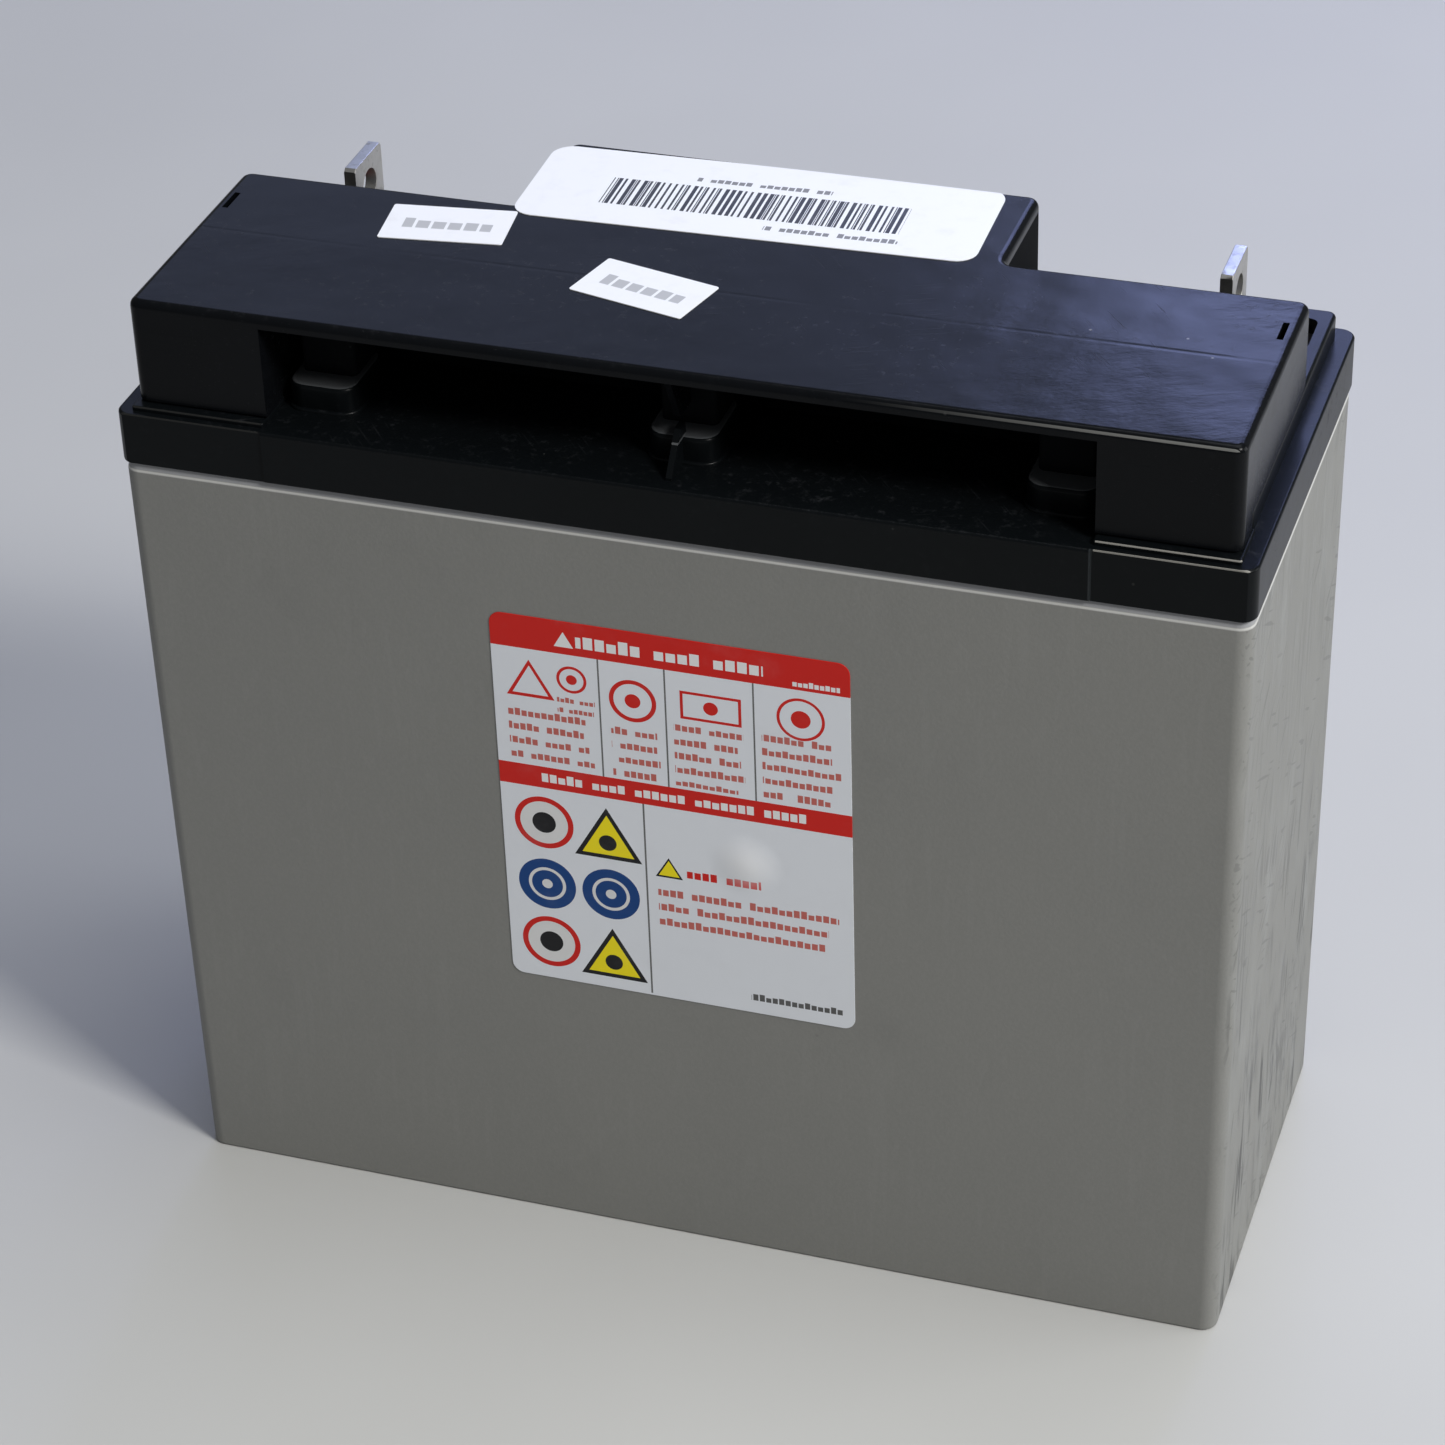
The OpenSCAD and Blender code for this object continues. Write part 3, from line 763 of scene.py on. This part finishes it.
def draw_barcode(it):
    """Bars of mixed widths, with a row of small blocks above and below."""
    step = it.u / 1.05
    bar = step.fract() < 0.36 + 0.26 * (it.random(step.floor()) > 0.5)
    hair = step.fract().between(0.72, 0.88) * (it.random(step.floor() + 90) > 0.45)
    it.ink((bar | hair) * it.bar(12.8, 62.0, 6.6, 15.6), grey(0.015))
    it.ink(it.greeking(26.0, 48.4, 16.6, 19.4, 2.8, 4, 0.0), grey(0.2))
    it.ink(it.greeking(40.8, 62.6, 2.6, 5.4, 2.8, 6, 0.0), grey(0.2))


def draw_date(it):
    """One row of grey blocks."""
    it.ink(it.greeking(3.0, 17.4, 2.4, 8.6, 6.2, 3, 0.0) * 0.6, grey(0.18))


# ---------------------------------------------------------------- pieces

def cell_boxes(inset_x, end_y, z0, z1):
    """One block in each cell."""
    for i in range(CELLS):
        x = (i - (CELLS - 1) / 2) * cell_pitch
        half = cell_l / 2 - inset_x
        yield block(x - half, x + half, -end_y, end_y, z0, z1)


def partition_xs():
    """Places of the walls between cells."""
    return [(i - (CELLS - 2) / 2) * cell_pitch for i in range(CELLS - 1)]


def case():
    """Case with rounded corners and a bevelled rim, its cells, and the tongue that goes into the lid."""
    x, y = case_high.x, case_high.y
    bm = block(-x, x, -y, y, 0, rim_z, CORNER, 0, 0.5 * MM)
    bevel(bm, level_edges(bm, rim_z), RIM_INSET, 1)
    for v in bm.verts:
        if near(v.co.z, rim_z - RIM_INSET):
            v.co.z = rim_z - RIM_H
    bevel(bm, level_edges(bm, rim_z - RIM_H), RIM_ROUND, 3)
    for v in bm.verts:
        v.co.x *= 1 - CASE_LEAN / x * (1 - v.co.z / rim_z)
    piece = to_object(bm, "case_shell")
    sx, sy = x - SHOULDER, y - SHOULDER
    carve(piece, "UNION", [block(-sx, sx, -sy, sy, rim_z - MM, case_high.z, CORNER - SHOULDER)])
    welds = []
    for i, at in enumerate(partition_xs()):
        hole = turn_to_x(round_bar(0, 0, -PARTITION, PARTITION, WELD_R, 24))
        bmesh.ops.translate(hole, verts=hole.verts, vec=(at, -WELD_Y if i % 2 == 0 else WELD_Y, WELD_Z))
        welds.append(hole)
    carve(piece, "DIFFERENCE", [*cell_boxes(0, cell_y, FLOOR, case_high.z + MM), *welds])
    finish_piece(piece, case_plastic(), "case")


def pad(x, grow, height, corner, top):
    """Pad on the floor of the grip slot, or the wider step round its foot."""
    half = PAD_X + grow
    return block(x - half, x + half, PAD_FRONT - grow, PAD_FRONT + PAD_DEPTH + grow,
                 band_z - MM, band_z + height, corner, top)


def lid():
    """Lid: band, plateau, plinths, pads and chimneys, less the grooves, hollows and terminal wells."""
    x, front, rear = lid_high.x, lid_low.y, lid_high.y
    piece = to_object(block(-x, x, front, rear, rim_z, band_z, CORNER, BAND_TOP, BAND_FOOT), "lid_shell")
    # The front panel is proud of the band only between the ends of the slot
    step = (-x, front + PANEL_PROUD, rim_z - MM, band_z + MM)
    ends = ((-x - MM, -GRIP_X), (GRIP_X, x + MM))
    carve(piece, "DIFFERENCE", [block(*end, *step) for end in ends])
    soften(piece, lambda p: near(abs(p.x), GRIP_X) and near(p.y, front), PANEL_ROUND)
    # Plateau with two arms round the slot, and a plinth under each front foot of the cover
    arms = [(-PLATEAU_X, ARM_FRONT), (-GRIP_X, ARM_FRONT), (-GRIP_X, GRIP_BACK),
            (GRIP_X, GRIP_BACK), (GRIP_X, ARM_FRONT), (PLATEAU_X, ARM_FRONT),
            (PLATEAU_X, PLATEAU_REAR), (-PLATEAU_X, PLATEAU_REAR)]
    plinth_x = (GRIP_X, PLATEAU_X + 0.4 * MM)
    plinth = (cover_low.y - 1.6 * MM, ARM_FRONT + MM, band_z - MM, band_z + 0.8 * MM, 0.4 * MM, 0.3 * MM)
    # Lower half of the fin at the middle of the slot
    fin_front, fin_top = cover_low.y - 0.3 * MM, band_z + 6.3 * MM
    half_fin = fin([(PAD_FRONT + MM, band_z - MM), (fin_front, band_z - MM), (fin_front, band_z + 0.4 * MM),
                    (PAD_FRONT - 0.8 * MM, fin_top), (PAD_FRONT + 1.5 * MM, fin_top),
                    (PAD_FRONT + 1.5 * MM, band_z + MM)], FIN_T)
    carve(piece, "UNION", [
        solid(arms, band_z - MM, plateau_z, 1.5 * MM, 0.7 * MM),
        block(plinth_x[0], plinth_x[1], *plinth),
        block(-plinth_x[1], -plinth_x[0], *plinth),
        *[pad(k * PAD_PITCH, 0, PAD_H, 3 * MM, 0.7 * MM) for k in (-1, 0, 1)],
        *[pad(k * PAD_PITCH, PAD_FOOT, PAD_FOOT, 3 * MM + PAD_FOOT, 0.9 * PAD_FOOT) for k in (-1, 0, 1)],
        half_fin,
        *[round_bar(*chimney_at(cap), plateau_z - MM, lid_high.z, CHIMNEY_R) for cap in caps],
    ])
    # Groove round the rim, and grooves for the walls between cells
    inner_x, inner_y = (high - SHOULDER + GROOVE_FIT for high in case_high.xy)
    skirt_x, skirt_y = (high - WALL - GROOVE_FIT for high in case_high.xy)
    outer = block(-inner_x, inner_x, -inner_y, inner_y, rim_z - MM, rim_z + GROOVE_H, 1.4 * MM)
    groove = to_object(outer, "groove")
    carve(groove, "DIFFERENCE", [block(-skirt_x, skirt_x, -skirt_y, skirt_y, rim_z - 2 * MM, rim_z + 5 * MM)])
    ring = bmesh.new()
    ring.from_mesh(groove.data)
    bpy.data.objects.remove(groove)
    web = PARTITION / 2 + GROOVE_FIT
    webs = [block(at - web, at + web, -inner_y, inner_y, rim_z - MM, rim_z + GROOVE_H)
            for at in partition_xs()]
    # Hollow over each cell, bores of the chimneys, terminal wells and holes for the lead posts
    inset = MM + GROOVE_FIT
    posts = [round_bar(side * (blade_x - POST_INSET), blade_y, rim_z, plateau_z, POST_HOLE_R + 0.15 * MM)
             for side in (-1, 1)]
    carve(piece, "DIFFERENCE", [
        ring, *webs, *cell_boxes(inset, cell_y - inset, rim_z - MM, band_z - 3 * MM),
        *[round_bar(*chimney_at(cap), rim_z, lid_high.z + MM, CHIMNEY_BORE_R) for cap in caps],
        *[well_cutter(side) for side in (-1, 1)],
        *posts,
    ])
    finish_piece(piece, lid_plastic(), "lid")


def well_cutter(side):
    """The space of a terminal well."""
    x = side * blade_x
    return block(x - WELL[0], x + WELL[0], blade_y - WELL[1], blade_y + WELL[1], plateau_z - WELL_DEPTH,
                 plateau_z + MM, 1.5 * MM)


def chimney_at(cap):
    """Middle of the chimney under a vent cap."""
    low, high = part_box(cap)
    return (low.x + high.x) / 2, (low.y + high.y) / 2


def top_cover():
    """T-shaped cover with a rounded top edge, a grip slot, hollow feet and posts."""
    bar_x, front, rear = cover_high.x, cover_low.y, cover_high.y
    outline = [(-bar_x, front), (bar_x, front), (bar_x, BAR_REAR), (STEM_X, BAR_REAR), (STEM_X, rear),
               (-STEM_X, rear), (-STEM_X, BAR_REAR), (-bar_x, BAR_REAR)]
    shell = solid(outline, cover_low.z, cover_z, COVER_CORNER, COVER_ROUND, 0.35 * MM)
    piece = to_object(shell, "top_cover_shell")
    t, far = COVER_WALL, 100 * MM
    foot_x = bar_x - t
    gas_slot = (*GAS_SLOT_Y, ceiling_z - MM, cover_z + MM)
    # Room for the plateau, the grip slot, hollows of the crossbar, feet and stem, and the gas slots
    carve(piece, "DIFFERENCE", [
        block(-far, far, ARM_FRONT - 2 * COVER_FIT, far, cover_low.z - MM, plateau_z + COVER_FIT),
        block(-GRIP_X, GRIP_X, front - MM, GRIP_BACK, cover_low.z - MM, ceiling_z),
        block(-foot_x, foot_x, GRIP_BACK + t, BAR_REAR - t, cover_low.z, ceiling_z),
        block(GRIP_X + t, foot_x, front + t, BAR_REAR - t, cover_low.z - MM, ceiling_z),
        block(-foot_x, -GRIP_X - t, front + t, BAR_REAR - t, cover_low.z - MM, ceiling_z),
        block(-STEM_X + t, STEM_X - t, 0, rear - t, cover_low.z, ceiling_z),
        block(GAS_SLOT_X[0], GAS_SLOT_X[1], *gas_slot),
        block(-GAS_SLOT_X[1], -GAS_SLOT_X[0], *gas_slot),
    ])

    def slot_edge(p):
        return near(p.y, front) and abs(p.x) < GRIP_X + MM and cover_low.z + MM < p.z < cover_z - MM

    soften(piece, slot_edge, 0.3 * MM)
    posts = [block(k * PAD_PITCH - POST_X, k * PAD_PITCH + POST_X, POST_FRONT, POST_FRONT + POST_DEPTH,
                   band_z + PAD_H, ceiling_z + MM, MM) for k in (-1, 0, 1)]
    # Upper half of the fin at the middle of the slot
    fin_low, fin_root = ceiling_z - 8.2 * MM, ceiling_z + 0.5 * MM
    half_fin = fin([(front + 0.6 * MM, fin_root), (front + 0.6 * MM, ceiling_z),
                    (PAD_FRONT - 0.6 * MM, fin_low), (POST_FRONT + MM, fin_low), (POST_FRONT + MM, fin_root)],
                   FIN_T)
    carve(piece, "UNION", [*posts, half_fin])
    finish_piece(piece, cover_plastic(), "top_cover")


def terminal(side, node, material):
    """Blade with clipped corners and a bolt hole, and the foot that the lead post comes through."""
    low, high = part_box(node)
    bm = block(-BLADE_T / 2, BLADE_T / 2, low.y, high.y, low.z, high.z)
    crown = [e for e in level_edges(bm, high.z) if abs(e.verts[0].co.x - e.verts[1].co.x) > 1e-5]
    bevel(bm, crown, BLADE_CLIP, 1)
    bmesh.ops.translate(bm, verts=bm.verts, vec=(side * blade_x, 0, 0))
    piece = to_object(bm, node + "_blade")
    carve(piece, "UNION", [block(low.x, high.x, low.y, high.y, low.z, low.z + BLADE_T, 0.6 * MM)])
    hole = turn_to_x(round_bar(0, 0, -2 * MM, 2 * MM, BOLT_R))
    bmesh.ops.translate(hole, verts=hole.verts, vec=(side * blade_x, blade_y, BOLT_Z))
    post_hole = round_bar(side * (blade_x - POST_INSET), blade_y, low.z - MM, low.z + 3 * MM, POST_HOLE_R)
    carve(piece, "DIFFERENCE", [hole, post_hole])
    soften(piece, lambda p: p.z > low.z + 3 * MM, 0.16 * MM)
    finish_piece(piece, material, node)


def film(node, name, corner, turn):
    """Thin label with rounded corners, lying turned about its middle and bent down over the rear edge."""
    low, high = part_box(node)
    middle = (low + high) / 2
    length, width = laid_size(node, turn, corner)
    bm = block(-length / 2, length / 2, -width / 2, width / 2, low.z, high.z, corner, FILM_ROUND)
    bmesh.ops.rotate(bm, verts=bm.verts, matrix=Matrix.Rotation(turn, 3, "Z"))
    bmesh.ops.translate(bm, verts=bm.verts, vec=(middle.x, middle.y, 0))
    flat_end = cover_high.y - COVER_ROUND
    strips = 4
    for step in range(strips):
        at = (0, flat_end + step / strips * COVER_ROUND, 0)
        bmesh.ops.bisect_plane(bm, geom=[*bm.verts, *bm.edges, *bm.faces], plane_co=at, plane_no=(0, 1, 0))
    for v in bm.verts:
        past = min(max(v.co.y - flat_end, 0), 0.95 * COVER_ROUND)
        v.co.z -= COVER_ROUND - math.sqrt(COVER_ROUND ** 2 - past ** 2)
    return to_object(bm, name)


def front_label():
    """Label on the front of the case, raised a little over an air bubble."""
    low, high = front_label_low, front_label_high
    thick = high.y - low.y
    bm = block(low.x, high.x, low.z, high.z, 0, thick, LABEL_CORNER, FILM_ROUND)
    bubble = Vector((low.x + BUBBLE_U * MM, low.z + BUBBLE_V * MM, 0))
    reach, steps = BUBBLE_R * MM, 12
    for axis in (0, 1):
        for step in range(steps + 1):
            at = bubble.copy()
            at[axis] += (step / steps * 2 - 1) * reach
            normal = Vector((1, 0, 0)) if axis == 0 else Vector((0, 1, 0))
            bmesh.ops.bisect_plane(bm, geom=[*bm.verts, *bm.edges, *bm.faces], plane_co=at, plane_no=normal)
    for v in bm.verts:
        if v.co.z > thick / 2:
            near_by = max(0, 1 - (v.co.xy - bubble.xy).length / reach)
            v.co.z += BUBBLE_RISE * near_by * near_by * (3 - 2 * near_by)
    # Stands the flat label up against the wall of the case
    for v in bm.verts:
        v.co = Vector((v.co.x, high.y - v.co.z, v.co.y))
    bmesh.ops.recalc_face_normals(bm, faces=bm.faces)
    piece = to_object(bm, "front_label_film")
    finish_piece(piece, front_print(), "front_label")


# Turn, corner radius and print of each label on the cover
TOP_LABELS = {"barcode_label": (math.radians(1.6), 3.5 * MM, draw_barcode),
              "date_label_left": (math.radians(7), 0.4 * MM, draw_date),
              "date_label_middle": (math.radians(-13.8), 0.4 * MM, draw_date)}


def top_labels():
    """The white labels on the cover."""
    for node, (turn, corner, draw) in TOP_LABELS.items():
        piece = film(node, node + "_film", corner, turn)
        finish_piece(piece, white_print(node + "_print", node, turn, corner, draw), node)


# Finishes of the CAD nodes that stay as they are, by their slot in the record:
# colour, roughness, size and colour of the marks, size and depth of the grain, metallic
INNER_FINISHES = {
    "sealant": (grey(0.03), 0.35, 8, grey(0.05), 1.0, 0.02),
    "lead": ((0.19, 0.2, 0.215), 0.42, 5, (0.27, 0.28, 0.3), 0.7, 0.05, 0.8),
    "seal_rubber": (grey(0.016), 0.6, 5, grey(0.03), 0.5, 0.02),
    "resin_black": (grey(0.01), 0.18, 6, grey(0.02), 3.0, 0.1),
    "resin_red": ((0.16, 0.009, 0.008), 0.2, 6, (0.12, 0.008, 0.008), 3.0, 0.1),
    "positive_paste": ((0.075, 0.032, 0.022), 0.85, 9, (0.12, 0.06, 0.04), 0.9, 0.12),
    "negative_paste": ((0.2, 0.21, 0.22), 0.75, 9, (0.28, 0.28, 0.29), 0.9, 0.12),
    "glass_mat": ((0.8, 0.8, 0.76), 0.95, 12, (0.72, 0.72, 0.7), 0.6, 0.15),
}


def inner_finishes():
    """Puts the finishes on the inner pieces."""
    finishes = {slot: plain_finish(slot, *look) for slot, look in INNER_FINISHES.items()}
    for part in frame["record"]["subparts"]:
        if part["material_slot"] in finishes:
            for slot in frame["nodes"][part["node"]].material_slots:
                slot.material = finishes[part["material_slot"]]


# ---------------------------------------------------------------- studio

def floor():
    """Plain pale floor."""
    half = 6
    bm = bmesh.new()
    bmesh.ops.create_grid(bm, x_segments=1, y_segments=1, size=half)
    ground = to_object(bm, "studio_floor")
    it = Finish("studio_floor", roughness=0.6)
    cloud = it.noise(160, 3)
    it.paint((0.5, 0.5, 0.485), [(cloud.ease(0.3, 0.8), (0.53, 0.53, 0.515))])
    it.link("Roughness", 0.55 + cloud * 0.1)
    ground.data.materials.append(it.material)


def soft_box(name, place, aim, size, power, colour):
    """Rectangular light, aimed at a point."""
    light = bpy.data.lights.new(name, "AREA")
    light.shape = "RECTANGLE"
    light.size, light.size_y = size
    light.energy = power
    light.color = colour
    lamp = bpy.data.objects.new(name, light)
    lamp.location = place
    lamp.rotation_euler = (Vector(aim) - Vector(place)).to_track_quat("-Z", "Y").to_euler()
    bpy.context.scene.collection.objects.link(lamp)


def lights():
    """A key light on the right, a wide one overhead, cool ones behind for the gloss, and a dim world."""
    aim = (0, 0, 0.08)
    top = (0, 0, cover_z - 5 * MM)
    soft_box("key_right", (1.2, -0.6, 1.3), aim, (0.4, 0.4), 25.5, (1.0, 0.99, 0.97))
    soft_box("overhead", (0.3, 0.15, 1.9), aim, (1.2, 1.2), 12.5, (0.92, 0.95, 1.0))
    soft_box("panel_behind", (0.03, 1.7, 0.97), top, (0.7, 0.45), 8.5, (0.42, 0.5, 1.0))
    soft_box("haze_behind", (-0.62, 1.6, 1.15), top, (0.9, 0.9), 2.6, (0.5, 0.6, 1.0))
    soft_box("side_right", (1.5, 0.45, 0.5), aim, (0.9, 0.8), 8, (0.97, 0.99, 1.0))
    world = bpy.data.worlds.new("studio")
    world.use_nodes = True
    background = world.node_tree.nodes["Background"]
    background.inputs["Color"].default_value = (0.95, 0.97, 1.0, 1)
    background.inputs["Strength"].default_value = 0.17
    bpy.context.scene.world = world


def camera():
    """Camera to the right of and above the front face."""
    azimuth, elevation, roll = (math.radians(a) for a in (19.09, 33.74, -2.02))
    back = Vector((math.sin(azimuth) * math.cos(elevation), -math.cos(azimuth) * math.cos(elevation),
                   math.sin(elevation)))
    level = Vector((0, 0, 1)).cross(back).normalized()
    upright = back.cross(level)
    right = math.cos(roll) * level + math.sin(roll) * upright
    up = math.cos(roll) * upright - math.sin(roll) * level
    turn = Matrix((right, up, back)).transposed().to_4x4()
    view = bpy.data.objects.new("camera", bpy.data.cameras.new("camera"))
    view.data.lens = 105.39
    view.data.sensor_width = 36
    view.data.clip_start = 0.01
    view.matrix_world = Matrix.Translation(Vector((186.2, -552.4, 469.6)) * MM) @ turn
    bpy.context.scene.collection.objects.link(view)
    bpy.context.scene.camera = view


camera()
lights()
floor()
case()
lid()
top_cover()
tin = tinned_metal()
terminal(1, "terminal_negative", tin)
terminal(-1, "terminal_positive", tin)
front_label()
top_labels()
inner_finishes()
bpy.context.scene.view_settings.view_transform = "Standard"
